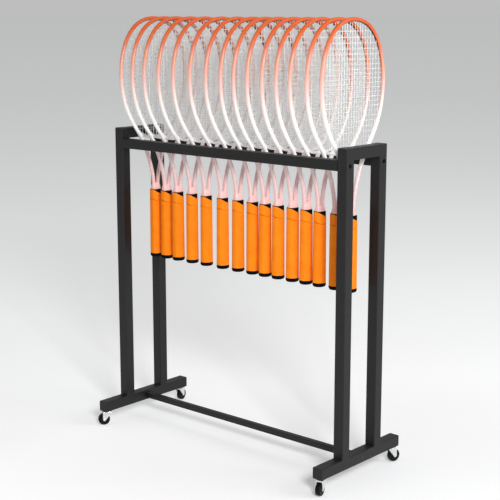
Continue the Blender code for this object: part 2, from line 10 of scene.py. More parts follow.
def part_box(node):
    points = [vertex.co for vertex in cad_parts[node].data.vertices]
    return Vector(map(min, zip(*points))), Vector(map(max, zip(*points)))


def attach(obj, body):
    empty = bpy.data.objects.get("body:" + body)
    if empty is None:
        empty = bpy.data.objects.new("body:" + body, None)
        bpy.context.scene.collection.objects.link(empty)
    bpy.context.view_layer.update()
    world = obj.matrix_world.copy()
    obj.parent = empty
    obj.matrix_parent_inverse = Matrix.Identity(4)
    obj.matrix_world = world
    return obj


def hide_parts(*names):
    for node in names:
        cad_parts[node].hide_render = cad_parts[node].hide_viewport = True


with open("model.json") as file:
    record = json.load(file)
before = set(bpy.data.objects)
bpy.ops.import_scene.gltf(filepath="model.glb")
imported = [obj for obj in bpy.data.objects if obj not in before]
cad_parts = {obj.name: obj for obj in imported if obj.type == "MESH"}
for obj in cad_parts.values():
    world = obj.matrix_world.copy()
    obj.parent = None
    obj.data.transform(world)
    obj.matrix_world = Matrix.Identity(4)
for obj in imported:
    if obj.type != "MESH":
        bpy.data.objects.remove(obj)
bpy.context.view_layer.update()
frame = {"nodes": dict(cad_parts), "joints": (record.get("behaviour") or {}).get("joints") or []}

MM = 0.001

# The view: the rack stands on a pale floor and is seen from its right front corner,
# a little from above, through a long lens.
VIEW_PLACE = (2.1662, -2.4296, 1.1975)
VIEW_DOWN = 11.205
VIEW_TURN = 41.364
LENS = 87.22
FILM_WIDTH = 36

camera_data = bpy.data.cameras.new("view")
camera_data.lens = LENS
camera_data.sensor_width = FILM_WIDTH
camera = bpy.data.objects.new("view", camera_data)
camera.location = VIEW_PLACE
camera.rotation_euler = (math.radians(90 - VIEW_DOWN), 0, math.radians(VIEW_TURN))
bpy.context.scene.collection.objects.link(camera)
bpy.context.scene.camera = camera
bpy.context.scene.view_settings.view_transform = "Standard"


# The stand's square tube: cold rolled steel with rolled corners, 30 mm in the end frames,
# 26.5 mm in the rails and 16 mm in the stretcher. Each end frame is cut square, welded and
# ground flush, then the whole stand is powder coated in black.
def linear(color):
    """Linear red, green, blue and alpha from an sRGB hex value."""
    values = [int(color[index : index + 2], 16) / 255 for index in (1, 3, 5)]
    return (*(v / 12.92 if v <= 0.04045 else ((v + 0.055) / 1.055) ** 2.4 for v in values), 1)


def add_node(tree, kind, sockets=None, **settings):
    """A shader node with its settings, and with its sockets set to values or linked."""
    made = tree.nodes.new(f"ShaderNode{kind}")
    for key, value in settings.items():
        setattr(made, key, value)
    for key, value in (sockets or {}).items():
        if isinstance(value, bpy.types.NodeSocket):
            tree.links.new(value, made.inputs[key])
        else:
            made.inputs[key].default_value = value
    return made


def new_material(name, **numbers):
    """A Principled material, its node tree and its shader, with plain numbers on the shader."""
    made = bpy.data.materials.new(name)
    made.use_nodes = True
    shader = made.node_tree.nodes["Principled BSDF"]
    for key, value in numbers.items():
        socket = key.replace("_", " ").title().replace("Ior", "IOR")
        shader.inputs[socket].default_value = value
    return made, made.node_tree, shader


def object_coordinates(tree):
    """Where a point lies in its object, in metres."""
    return add_node(tree, "TexCoord").outputs["Object"]


def grain(tree, size, detail=2.0, roughness=0.5):
    """Noise whose lumps are about this size in metres."""
    place = object_coordinates(tree)
    shape = {"Scale": 1 / size, "Detail": detail, "Roughness": roughness}
    return add_node(tree, "TexNoise", {"Vector": place, **shape}).outputs["Fac"]


def two_tone(tree, amount, first, second, low=0.35, high=0.65):
    """A colour that goes from the first to the second as amount goes from low to high."""
    ramp = add_node(tree, "ValToRGB", {"Fac": amount})
    for stop, position, color in zip(ramp.color_ramp.elements, (low, high), (first, second)):
        stop.position = position
        stop.color = linear(color)
    return ramp.outputs["Color"]


def number_range(tree, amount, low, high):
    """A number that goes from low to high across the values that most of a grain has."""
    ends = {"From Min": 0.3, "From Max": 0.7, "To Min": low, "To Max": high}
    return add_node(tree, "MapRange", {"Value": amount, **ends}).outputs["Result"]


def bump(tree, shader, height, depth):
    """Bumps of this depth in metres on a shader's surface."""
    made = add_node(tree, "Bump", {"Height": height, "Distance": depth, "Strength": 1.0})
    tree.links.new(made.outputs["Normal"], shader.inputs["Normal"])


def black_powder_coat():
    """Baked polyester powder: satin, with an orange peel that is drawn twice as coarse here."""
    made, tree, shader = new_material("black_powder_coat", specular_ior_level=0.28)
    peel = grain(tree, 1.6 * MM)
    clouds = grain(tree, 60 * MM, detail=3)
    tree.links.new(two_tone(tree, clouds, "#181818", "#1b1b1c"), shader.inputs["Base Color"])
    tree.links.new(number_range(tree, clouds, 0.42, 0.5), shader.inputs["Roughness"])
    bump(tree, shader, peel, 0.05 * MM)
    return made


def finished_mesh(name, bm, finish, crease=40):
    """A mesh from a bmesh, smooth where its faces meet at less than the crease angle."""
    mesh = bpy.data.meshes.new(name)
    bm.normal_update()
    bm.to_mesh(mesh)
    bm.free()
    mesh.shade_smooth()
    mesh.set_sharp_from_angle(angle=math.radians(crease))
    mesh.materials.append(finish)
    return mesh


def place_piece(name, mesh, body, replaced=()):
    """An object that rides on a body, in its mesh's material, and stands in for CAD nodes."""
    piece = bpy.data.objects.new(name, mesh)
    bpy.context.scene.collection.objects.link(piece)
    normals = piece.modifiers.new("flats", "WEIGHTED_NORMAL")
    normals.keep_sharp = True
    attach(piece, body)
    if replaced:
        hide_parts(*replaced)


def combined(first, second, operation):
    """The first bmesh with the second cut out of it or joined to it."""
    work, other = (
        bpy.data.objects.new(part, bpy.data.meshes.new(part)) for part in ("work", "other")
    )
    for obj, bm in ((work, first), (other, second)):
        bm.normal_update()
        bm.to_mesh(obj.data)
        bm.free()
        bpy.context.scene.collection.objects.link(obj)
    modifier = work.modifiers.new(operation, "BOOLEAN")
    modifier.operation = operation
    modifier.solver = "EXACT"
    modifier.object = other
    bpy.context.view_layer.update()
    result = bmesh.new()
    result.from_object(work, bpy.context.evaluated_depsgraph_get())
    bpy.data.objects.remove(work)
    bpy.data.objects.remove(other)
    return result


def square_bar(low, high, axis, corner, end_edge=0.0):
    """A bar along one axis of a box, its long edges rolled round and its ends eased."""
    bm = bmesh.new()
    middle = Matrix.Translation((low + high) / 2)
    bmesh.ops.create_cube(bm, size=1.0, matrix=middle @ Matrix.Diagonal((*(high - low), 1)))
    bevel(bm, edges_along(bm, axis), corner, CORNER_STEPS)
    if end_edge:
        along = set(edges_along(bm, axis))
        bevel(bm, [edge for edge in bm.edges if edge not in along], end_edge, EDGE_STEPS)
    return bm


def edges_along(bm, axis):
    """The edges whose ends differ along an axis."""
    return [
        edge
        for edge in bm.edges
        if abs(edge.verts[0].co[axis] - edge.verts[1].co[axis]) > SAME_PLACE
    ]


def bevel(bm, edges, width, segments):
    """Rounds edges off, this far from each edge."""
    bmesh.ops.bevel(
        bm,
        geom=edges,
        offset=width,
        offset_type="OFFSET",
        segments=segments,
        profile=0.5,
        affect="EDGES",
        material=-1,
    )


def add_round_bar(bm, start, end, radius, sides=32):
    """A cylinder from one point to another."""
    along = end - start
    turn = along.to_track_quat("Z", "Y").to_matrix().to_4x4()
    bmesh.ops.create_cone(
        bm,
        cap_ends=True,
        segments=sides,
        radius1=radius,
        radius2=radius,
        depth=along.length,
        matrix=Matrix.Translation((start + end) / 2) @ turn,
    )


def round_bar(start, end, radius, sides=32):
    """A bmesh of one cylinder."""
    bm = bmesh.new()
    add_round_bar(bm, start, end, radius, sides)
    return bm


TUBE_WIDTH = 30 * MM
TUBE_CORNER = 2.5 * MM
RAIL_CORNER = 2.0 * MM
STRETCHER_CORNER = 1.5 * MM
END_EDGE = 0.5 * MM
CORNER_STEPS = 5
EDGE_STEPS = 2
SAME_PLACE = 0.01 * MM
ACCESS_HOLE = 11.5 * MM
SHANK_LENGTH = 15 * MM
PLUG_HEAD = 2.5 * MM
PLUG_SEAM = 0.3 * MM
WELD_DEPTH = 2.8 * MM

powder_coat = black_powder_coat()


def add_tube(name, bm):
    """One tube of the stand, powder coated, in the place of its CAD node."""
    mesh = finished_mesh(name, bm, powder_coat)
    place_piece(f"{name}_tube", mesh, "stand", [name])


def seat_of(screw, side):
    """Where a screw's head bears, on the inside of an end frame's inner wall."""
    low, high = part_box(screw)
    _, y, z = (low + high) / 2
    return Vector((side * (min(abs(low.x), abs(high.x)) + SHANK_LENGTH), y, z))


def drill_access(bm, side, screw):
    """A blind hole from a tube's outer face to the head of a screw in its inner wall."""
    seat = seat_of(screw, side)
    hole = round_bar(seat, seat + Vector((side * TUBE_WIDTH, 0, 0)), ACCESS_HOLE / 2)
    return combined(bm, hole, "DIFFERENCE")


# The posts' feet and the top bars' ends run on into the rounded corners that they are
# welded to, so the outer faces meet without a groove.
for side, hand in ((-1, "left"), (1, "right")):
    for where in ("front", "rear"):
        name = f"{hand}_{where}_post"
        low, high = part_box(name)
        top = Vector((0, 0, PLUG_HEAD + PLUG_SEAM))
        post = square_bar(low - Vector((0, 0, WELD_DEPTH)), high - top, 2, TUBE_CORNER)
        add_tube(name, drill_access(post, side, f"{hand}_{where}_rail_bolt"))
    low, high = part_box(f"{hand}_top_bar")
    ends = Vector((0, WELD_DEPTH, 0))
    add_tube(f"{hand}_top_bar", square_bar(low - ends, high + ends, 1, TUBE_CORNER))
    low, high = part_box(f"{hand}_foot")
    foot = square_bar(low, high, 1, TUBE_CORNER, END_EDGE)
    add_tube(f"{hand}_foot", drill_access(foot, side, f"{hand}_stretcher_bolt"))

for name, corner in (
    ("front_rail", RAIL_CORNER),
    ("rear_rail", RAIL_CORNER),
    ("stretcher", STRETCHER_CORNER),
):
    add_tube(name, square_bar(*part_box(name), 0, corner))


# Plugs: moulded polyethylene, matt black. One closes each post's top, with a head as wide as
# the tube, and a small domed one is pressed into each foot's access hole. They have no slot
# of their own and take the wheels', which is black plastic too.
def black_polyethylene():
    """Moulded polyethylene: a waxy black, duller than the powder coat, with a fine texture."""
    made, tree, shader = new_material("black_polyethylene", specular_ior_level=0.4)
    clouds = grain(tree, 12 * MM)
    tree.links.new(two_tone(tree, clouds, "#1f1f1f", "#252526"), shader.inputs["Base Color"])
    tree.links.new(number_range(tree, clouds, 0.5, 0.6), shader.inputs["Roughness"])
    bump(tree, shader, grain(tree, 0.8 * MM), 0.02 * MM)
    return made


def spun(profile, steps=32):
    """A solid turned about Z. Its (radius, height) points run between two points on the
    axis, or round in a closed line."""
    bm = bmesh.new()
    verts = [bm.verts.new((radius, 0, height)) for radius, height in profile]
    edges = [bm.edges.new(pair) for pair in zip(verts, verts[1:])]
    bmesh.ops.spin(
        bm,
        geom=verts + edges,
        cent=(0, 0, 0),
        axis=(0, 0, 1),
        angle=2 * math.pi,
        steps=steps,
        use_merge=True,
    )
    bmesh.ops.remove_doubles(bm, verts=bm.verts, dist=SAME_PLACE / 2)
    bmesh.ops.recalc_face_normals(bm, faces=bm.faces)
    return bm


def in_mm(points):
    """Points in metres from points in millimetres."""
    return [tuple(value * MM for value in point) for point in points]


def facing_out(side, place):
    """Takes a solid that stands upright on the origin to a place on a side, facing outwards."""
    return Matrix.Translation(place) @ Matrix.Rotation(side * math.radians(90), 4, "Y")


# The button's (radius, height) points are in millimetres.
PLUG_INSET = 0.1 * MM
PLUG_DOME = 0.2 * MM
BUTTON_PROFILE = ((0, 0.9), (3.2, 0.8), (5.2, 0.45), (6.3, 0), (5.7, -0.1), (5.6, -4), (0, -4))

polyethylene = black_polyethylene()
for side, hand in ((-1, "left"), (1, "right")):
    for where in ("front", "rear"):
        low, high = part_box(f"{hand}_{where}_post")
        inset = Vector((PLUG_INSET, PLUG_INSET, 0))
        base = Vector((low.x, low.y, high.z - PLUG_HEAD)) + inset
        top = high - inset + Vector((0, 0, PLUG_DOME))
        head = square_bar(base, top, 2, TUBE_CORNER, END_EDGE)
        mesh = finished_mesh("post_plug", head, polyethylene)
        place_piece(f"{hand}_{where}_post_plug", mesh, "stand")
    low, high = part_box(f"{hand}_stretcher_bolt")
    middle = (low + high) / 2
    face = max(abs(value.x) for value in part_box(f"{hand}_foot"))
    button = spun(in_mm(BUTTON_PROFILE))
    button.transform(facing_out(side, (side * face, middle.y, middle.z)))
    mesh = finished_mesh("foot_plug", button, polyethylene)
    place_piece(f"{hand}_foot_plug", mesh, "stand")


# Socket head screws, M6, black oxide. They go in through the access holes, and their heads
# bear on the inside of the end frames' inner walls.
def black_oxide():
    """Hot blackened alloy steel under a film of oil: dark, with a dull metal shine."""
    made, tree, shader = new_material("black_oxide_steel", metallic=0.8)
    blotches = grain(tree, 2 * MM)
    tree.links.new(two_tone(tree, blotches, "#2a2a2b", "#3a3938"), shader.inputs["Base Color"])
    tree.links.new(number_range(tree, blotches, 0.35, 0.5), shader.inputs["Roughness"])
    return made


HEAD_RADIUS = 5 * MM
HEAD_HEIGHT = 6 * MM
HEAD_EDGE = 0.6 * MM
SHANK_RADIUS = 3 * MM
SOCKET_ACROSS_CORNERS = 5.8 * MM
SOCKET_DEPTH = 3 * MM

black_oxide_steel = black_oxide()
for side, hand in ((-1, "left"), (1, "right")):
    for what in ("front_rail", "rear_rail", "stretcher"):
        name = f"{hand}_{what}_bolt"
        screw = spun(
            [
                (0, HEAD_HEIGHT),
                (HEAD_RADIUS - HEAD_EDGE, HEAD_HEIGHT),
                (HEAD_RADIUS, HEAD_HEIGHT - HEAD_EDGE),
                (HEAD_RADIUS, 0),
                (SHANK_RADIUS, 0),
                (SHANK_RADIUS, -SHANK_LENGTH),
                (0, -SHANK_LENGTH),
            ]
        )
        key = round_bar(
            Vector((0, 0, HEAD_HEIGHT - SOCKET_DEPTH)),
            Vector((0, 0, HEAD_HEIGHT + SOCKET_DEPTH)),
            SOCKET_ACROSS_CORNERS / 2,
            sides=6,
        )
        screw = combined(screw, key, "DIFFERENCE")
        screw.transform(facing_out(side, seat_of(name, side)))
        mesh = finished_mesh(name, screw, black_oxide_steel)
        place_piece(f"{name}_screw", mesh, "stand", [name])


# Swivel casters. Each has a zinc plated stem with a flange, screwed up into the foot, and a
# fork bent from steel sheet that turns on the stem's pin. A moulded black nylon wheel runs on
# an axle riveted through the fork's legs. Profiles are (radius, height) points in millimetres.
WHEEL_RADIUS = 17 * MM
WHEEL_WIDTH = 14 * MM
AXLE_RADIUS = 2.5 * MM
STEM_PROFILE = (
    *((0, 16), (3.4, 16), (4, 15.4), (4, -0.3), (9.3, -0.3), (10, -1), (10, -1.8), (9.5, -2.3)),
    *((3, -2.3), (3, -6), (4.5, -6), (4.5, -7), (3.8, -7.5), (0, -7.5)),
)
WHEEL_FACE = (
    *((2.8, 7), (6.5, 7), (7.1, 6.6), (8.2, 5.7), (8.8, 5.5), (12.6, 5.5), (13.2, 5.7)),
    *((14.1, 6.7), (14.8, 6.95), (15.7, 6.75), (16.4, 6.1), (16.85, 5.2), (17, 4.2)),
)
FORK_SHEET = 1.7 * MM
FORK_SIDE_PLAY = 0.8 * MM
FORK_BEND = 2.6 * MM
FORK_FRONT = 10 * MM
FORK_LEG_END = 4.5 * MM
FORK_LEG_ANGLES = range(200, 361, 16)
FORK_PLATE_TOP = 2.6 * MM
FORK_PLATE = 3.4 * MM
RIVET_PROFILE = ((0, 1.2), (1.5, 1.05), (2.7, 0.65), (3.3, 0.15), (3.4, -0.4), (0, -0.4))


def plated_steel(name, tints, roughness):
    """Zinc plating: a bright pale metal, a little cloudy, with a fine uneven surface."""
    made, tree, shader = new_material(name, metallic=0.75)
    clouds = grain(tree, 5 * MM, detail=3)
    tree.links.new(two_tone(tree, clouds, *tints), shader.inputs["Base Color"])
    tree.links.new(number_range(tree, clouds, *roughness), shader.inputs["Roughness"])
    bump(tree, shader, grain(tree, 0.6 * MM), 0.01 * MM)
    return made


def black_nylon():
    """Injection moulded nylon: black, satin, with a fine even texture and paler scuffs."""
    made, tree, shader = new_material("black_nylon_wheel", specular_ior_level=0.15)
    scuffs = grain(tree, 4 * MM, detail=4, roughness=0.7)
    tint = two_tone(tree, scuffs, "#050505", "#0e0e0f", low=0.45, high=0.8)
    tree.links.new(tint, shader.inputs["Base Color"])
    tree.links.new(number_range(tree, scuffs, 0.32, 0.5), shader.inputs["Roughness"])
    bump(tree, shader, grain(tree, 0.5 * MM), 0.02 * MM)
    return made


def wheel_solid():
    """The wheel turned about its own axle, which lies along Y."""
    rim = [(radius, -height) for radius, height in reversed(WHEEL_FACE)]
    bm = spun(in_mm([*WHEEL_FACE, *rim, WHEEL_FACE[0]]), steps=64)
    bm.transform(Matrix.Rotation(math.radians(90), 4, "X"))
    return bm


def fork_solid(foot_bottom, trail):
    """The fork with its legs towards +X, and its pin hole on the Z axis."""
    top = foot_bottom - FORK_PLATE_TOP
    inside = WHEEL_WIDTH + 2 * FORK_SIDE_PLAY
    outside = inside + 2 * FORK_SHEET
    leg_end = [
        (
            trail + FORK_LEG_END * math.cos(math.radians(angle)),
            WHEEL_RADIUS + FORK_LEG_END * math.sin(math.radians(angle)),
        )
        for angle in FORK_LEG_ANGLES
    ]
    outline = [(-FORK_FRONT, top), (-FORK_FRONT, top - FORK_PLATE), *leg_end]
    outline.append((trail + FORK_LEG_END, top))
    side = bmesh.new()
    verts = [side.verts.new((x, -outside, z)) for x, z in outline]
    edges = [side.edges.new(pair) for pair in zip(verts, verts[1:] + verts[:1])]
    face = bmesh.ops.edgeloop_fill(side, edges=edges)["faces"]
    drawn = bmesh.ops.extrude_face_region(side, geom=face)["geom"]
    moved = [item for item in drawn if isinstance(item, bmesh.types.BMVert)]
    bmesh.ops.translate(side, verts=moved, vec=(0, 2 * outside, 0))
    bmesh.ops.recalc_face_normals(side, faces=side.faces)
    length = 2 * (trail + FORK_FRONT + FORK_LEG_END)
    blank = channel(length, outside, top, FORK_BEND)
    slot = channel(2 * length, inside, top - FORK_PLATE, FORK_BEND - FORK_SHEET)
    fork = combined(combined(blank, side, "INTERSECT"), slot, "DIFFERENCE")
    axle = Vector((trail, outside / 2, WHEEL_RADIUS))
    add_round_bar(fork, axle, axle - Vector((0, outside, 0)), AXLE_RADIUS, sides=24)
    for way in (-1, 1):
        head = spun(in_mm(RIVET_PROFILE), steps=24)
        head.transform(Matrix.Rotation(math.radians(-90 * way), 4, "X"))
        head.transform(Matrix.Translation((trail, way * outside / 2, WHEEL_RADIUS)))
        mesh = bpy.data.meshes.new("rivet")
        head.to_mesh(mesh)
        head.free()
        fork.from_mesh(mesh)
    return fork


def channel(length, width, top, bend):
    """A block along X whose two upper long edges are rounded as sheet metal bends."""
    bm = bmesh.new()
    size = Matrix.Diagonal((length, width, 2 * top, 1))
    bmesh.ops.create_cube(bm, size=1.0, matrix=size)
    upper = [
        edge
        for edge in bm.edges
        if min(vert.co.z for vert in edge.verts) > 0
        and abs(edge.verts[0].co.x - edge.verts[1].co.x) > length / 2
    ]
    bevel(bm, upper, bend, CORNER_STEPS)
    return bm


zinc_stem = plated_steel("zinc_plated_steel", ("#a9abad", "#c6c8ca"), (0.3, 0.42))
zinc_fork = plated_steel("bright_zinc_fork", ("#d0d2d4", "#e8e9ea"), (0.22, 0.34))
nylon = black_nylon()
foot_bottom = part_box("left_foot")[0].z
joints = {joint["name"]: joint for joint in frame["joints"]}
for name in ("front_left", "front_right", "rear_left", "rear_right"):
    pin = Vector(joints[f"{name}_swivel"]["pos_m"])
    axle = Vector(joints[f"{name}_roll"]["pos_m"])
    trail = (axle - pin).xy.length
    heading = math.atan2(axle.y - pin.y, axle.x - pin.x)
    turn = Matrix.Translation((pin.x, pin.y, 0)) @ Matrix.Rotation(heading, 4, "Z")
    stem = spun(in_mm(STEM_PROFILE))
    stem.transform(Matrix.Translation((pin.x, pin.y, foot_bottom)))
    fork = fork_solid(foot_bottom, trail)
    fork.transform(turn)
    wheel = wheel_solid()
    wheel.transform(turn @ Matrix.Translation((trail, 0, WHEEL_RADIUS)))
    for part, solid, finish, body in (
        ("stem", stem, zinc_stem, "stand"),
        ("fork", fork, zinc_fork, f"{name}_fork"),
        ("wheel", wheel, nylon, f"{name}_wheel"),
    ):
        node = f"{name}_caster_{part}"
        mesh = finished_mesh(node, solid, finish, crease=30)
        place_piece(f"{node}_piece", mesh, body, [node])


# A racket's frame: one oval tube of carbon fibre, moulded round into the head and down into
# the handle, with a moulded bridge that closes the head. It is sprayed orange from the crown
# down over white, and pink up from the handle, under clear lacquer. Just under the front rail
# the pink is greyer, which is painted shade of the rail. Heights are above the butt.
FRAME_TUBE = 9 * MM
FRAME_DEPTH = 11.5 * MM
CROWN = 684.5 * MM
HEAD_HALF_WIDTH = 126 * MM
HEAD_WIDEST = 530 * MM
HEAD_TOP_PULL = 87 * MM
HEAD_SHOULDER_PULL = 78 * MM
HEAD_SIDE_PULL = 93 * MM
WAIST_HALF_WIDTH = 60.5 * MM
WAIST_HEIGHT = 361 * MM
WAIST_LEAN = 33.4
WAIST_UP_PULL = 35 * MM
WAIST_DOWN_PULL = 39 * MM
THROAT_HALF_WIDTH = 8.4 * MM
THROAT_HEIGHT = 220 * MM
THROAT_PULL = 47 * MM
THROAT_LEAN = 3.8
LEG_SINK = 15 * MM
BRIDGE_TUBE = 8 * MM
BRIDGE_DEPTH = 10 * MM
BRIDGE_MIDDLE = 350 * MM
BRIDGE_MIDDLE_PULL = 43 * MM
BRIDGE_END_HEIGHT = 379 * MM
BRIDGE_END_PULL = 22 * MM
# The shaft's (height, width, depth) sections and the lacquer's (height, colour) stops are in
# millimetres. A section's corners are squarer as its squareness grows, and 2 is an ellipse.
SHAFT = (
    *((180, 24, 18), (198, 29, 21), (204, 28.4, 18.4), (209, 27.3, 15.4)),
    *((213, 25.6, 12.8), (216, 22, 10), (217.5, 15, 6.5)),
)
TUBE_SQUARENESS = 2.4
SHAFT_SQUARENESS = 3.2
# From 255 to 322 mm, just under the front rail, the pink is greyer: painted shade of the rail.
LACQUER_PAINT_AND_SHADE = (
    *((198, "#efbcb7"), (225, "#ebc1be"), (255, "#e6c3c2"), (285, "#e5cac9"), (308, "#e7cfcd")),
    *((322, "#efe2e0"), (338, "#f8f3f2"), (352, "#fcfbfb"), (430, "#f9f1ef"), (470, "#f3dfd9")),
    *((508, "#eec3bc"), (545, "#e8ac9d"), (581, "#e2967e"), (600, "#dc8b74"), (617, "#d87352")),
    *((636, "#d66a3c"), (660, "#d35712")),
)

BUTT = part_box("racket_01_grip")[0].z


def fill_ramp(ramp, stops):
    """Gives a colour ramp its (position, colour) stops."""
    elements = ramp.color_ramp.elements
    while len(elements) < len(stops):
        elements.new(position=0.5)
    for element, (position, color) in zip(elements, stops):
        element.position = position
        element.color = linear(color)


def height_fade(tree, stops):
    """A colour that changes with height above the butt, from (millimetres, colour) stops."""
    place = add_node(tree, "SeparateXYZ", {"Vector": object_coordinates(tree)})
    first, last = stops[0][0], stops[-1][0]
    ends = {"From Min": BUTT + first * MM, "From Max": BUTT + last * MM}
    share = add_node(tree, "MapRange", {"Value": place.outputs["Z"], **ends})
    ramp = add_node(tree, "ValToRGB", {"Fac": share.outputs["Result"]})
    fill_ramp(ramp, [((height - first) / (last - first), color) for height, color in stops])
    return ramp.outputs["Color"]


def lacquer_with_painted_shade():
    """Polyurethane lacquer on carbon fibre: glossy, smooth, with the faintest ripple."""
    made, tree, shader = new_material(
        "lacquer_with_painted_shade", specular_ior_level=0.35, coat_weight=0.2, coat_roughness=0.12
    )
    # The base colour fades with height and carries the rail's painted shade on the legs.
    tree.links.new(height_fade(tree, LACQUER_PAINT_AND_SHADE), shader.inputs["Base Color"])
    haze = number_range(tree, grain(tree, 9 * MM), 0.28, 0.34)
    tree.links.new(haze, shader.inputs["Roughness"])
    bump(tree, shader, grain(tree, 3 * MM), 0.01 * MM)
    return made


def head_curve():
    """Right half of the tube's centre line as (y, z) points above the butt, from the crown."""
    lean = Vector((math.sin(math.radians(WAIST_LEAN)), math.cos(math.radians(WAIST_LEAN))))
    steep = Vector((math.sin(math.radians(THROAT_LEAN)), math.cos(math.radians(THROAT_LEAN))))
    crown = Vector((0, CROWN))
    side = Vector((HEAD_HALF_WIDTH, HEAD_WIDEST))
    waist = Vector((WAIST_HALF_WIDTH, WAIST_HEIGHT))
    throat = Vector((THROAT_HALF_WIDTH, THROAT_HEIGHT))
    across = Vector((1, 0))
    up = Vector((0, 1))
    # Each stretch has its start, its two handles, its end and its number of points.
    stretches = (
        (crown, crown + HEAD_TOP_PULL * across, side + HEAD_SHOULDER_PULL * up, side, 19),
        (side, side - HEAD_SIDE_PULL * up, waist + WAIST_UP_PULL * lean, waist, 17),
        (waist, waist - WAIST_DOWN_PULL * lean, throat + THROAT_PULL * steep, throat, 15),
    )
    points = [crown]
    for stretch in stretches:
        points += interpolate_bezier(*stretch)[1:]
    points.append(throat - LEG_SINK * steep)
    return points


def crossing(points, axis, value):
    """Where a run of points first reaches a y (axis 0) or a z (axis 1), and its way there."""
    for first, second in zip(points, points[1:]):
        if min(first[axis], second[axis]) <= value <= max(first[axis], second[axis]):
            share = (value - first[axis]) / (second[axis] - first[axis])
            return first.lerp(second, share), (second - first).normalized()
    raise ValueError("the outline doesn't reach that far")


def bridge_curve(outline):
    """Right half of the bridge's centre line, from its middle to where it meets the tube."""
    end, down_the_leg = crossing(outline, 1, BRIDGE_END_HEIGHT)
    middle = Vector((0, BRIDGE_MIDDLE))
    middle_handle = middle + Vector((BRIDGE_MIDDLE_PULL, 0))
    end_handle = end + BRIDGE_END_PULL * down_the_leg
    return interpolate_bezier(middle, middle_handle, end_handle, end, 13)


def both_sides(half):
    """A whole line from its right half, which starts in the middle."""
    return [Vector((-point.x, point.y)) for point in reversed(half[1:])] + list(half)


def oval_ring(bm, depth, width, squareness, sides=24):
    """A ring of edges round Z: depth along X, width along Y, squarer as squareness grows."""
    ring = bmesh.ops.create_circle(bm, segments=sides, radius=1.0)["verts"]
    for vert in ring:
        x, y = vert.co.x, vert.co.y
        vert.co.x = math.copysign(abs(x) ** (2 / squareness), x) * depth / 2
        vert.co.y = math.copysign(abs(y) ** (2 / squareness), y) * width / 2
    return ring


def stations(path):
    """Places along a (y, z) path: local X is the racket's depth, Y faces inwards, Z runs on."""
    placed = []
    for index, point in enumerate(path):
        before = path[max(index - 1, 0)]
        after = path[min(index + 1, len(path) - 1)]
        along = (after - before).normalized()
        placed.append(
            Matrix(
                (
                    (1, 0, 0, 0),
                    (0, along.y, along.x, point.x),
                    (0, -along.x, along.y, point.y),
                    (0, 0, 0, 1),
                )
            )
        )
    return placed


def sweep(bm, ring, places):
    """Draws a ring of vertices along places and closes both ends."""
    verts = list(ring)
    edges = list(dict.fromkeys(edge for vert in verts for edge in vert.link_edges))
    bmesh.ops.transform(bm, matrix=places[0], verts=verts)
    bmesh.ops.edgeloop_fill(bm, edges=edges)
    for before, after in zip(places, places[1:]):
        made = bmesh.ops.extrude_edge_only(bm, edges=edges)["geom"]
        verts = [item for item in made if isinstance(item, bmesh.types.BMVert)]
        edges = [
            item
            for item in made
            if isinstance(item, bmesh.types.BMEdge) and set(item.verts) <= set(verts)
        ]
        bmesh.ops.transform(bm, matrix=after @ before.inverted(), verts=verts)
    bmesh.ops.edgeloop_fill(bm, edges=edges)


def swept(path, depth, width):
    """The racket's tube, drawn along a path."""
    bm = bmesh.new()
    sweep(bm, oval_ring(bm, depth, width, TUBE_SQUARENESS), stations(path))
    bmesh.ops.recalc_face_normals(bm, faces=bm.faces)
    return bm


def shaft_solid():
    """The top of the handle, where the two legs run together."""
    bm = bmesh.new()
    levels = [
        Matrix.Translation((0, 0, height)) @ Matrix.Diagonal((depth, width, 1, 1))
        for height, width, depth in in_mm(SHAFT)
    ]
    sweep(bm, oval_ring(bm, 1, 1, SHAFT_SQUARENESS, sides=32), levels)
    bmesh.ops.recalc_face_normals(bm, faces=bm.faces)
    return bm


outline = head_curve()
bridge = bridge_curve(outline)
moulding = swept(both_sides(outline), FRAME_DEPTH, FRAME_TUBE)
moulding = combined(moulding, swept(both_sides(bridge), BRIDGE_DEPTH, BRIDGE_TUBE), "UNION")
moulding = combined(moulding, shaft_solid(), "UNION")
moulding_mesh = finished_mesh("moulding", moulding, lacquer_with_painted_shade())

# Strings: 1.15 mm synthetic gut, white, 20 mains woven through 23 crosses. They stand closer
# in the middle of the bed than at its edges. Each passes over and under its neighbours.
STRING = 1.15 * MM
STRING_SIDES = 6
MAINS = 20
MAINS_HALF_WIDTH = 106 * MM
MAINS_EVENNESS = 0.92
CROSSES = 23
CROSSES_MIDDLE = 516 * MM
CROSSES_HALF_HEIGHT = 139 * MM
CROSSES_EVENNESS = 0.89
WEAVE = 0.55 * MM


def nylon_string():
    """Coated nylon gut: milky white with a soft shine."""
    made, tree, shader = new_material(
        "nylon_string", roughness=0.35, subsurface_weight=0.1, subsurface_scale=0.001
    )
    tint = two_tone(tree, grain(tree, 30 * MM), "#e0e0de", "#eaeae8")
    tree.links.new(tint, shader.inputs["Base Color"])
    return made


def spread(index, count, half, evenness):
    """Where one of a row of strings stands, from -half to half, wider apart at the ends."""
    share = 2 * index / (count - 1) - 1
    return half * (evenness * share + (1 - evenness) * share**3)


def thread(bm, points, turn):
    """A string through points, whose ring is turned across the way that it runs."""
    start = Matrix.Translation(points[0]) @ turn
    ring = bmesh.ops.create_circle(bm, segments=STRING_SIDES, radius=STRING / 2)["verts"]
    rest = [Matrix.Translation(point - points[0]) @ start for point in points[1:]]
    sweep(bm, ring, [start, *rest])


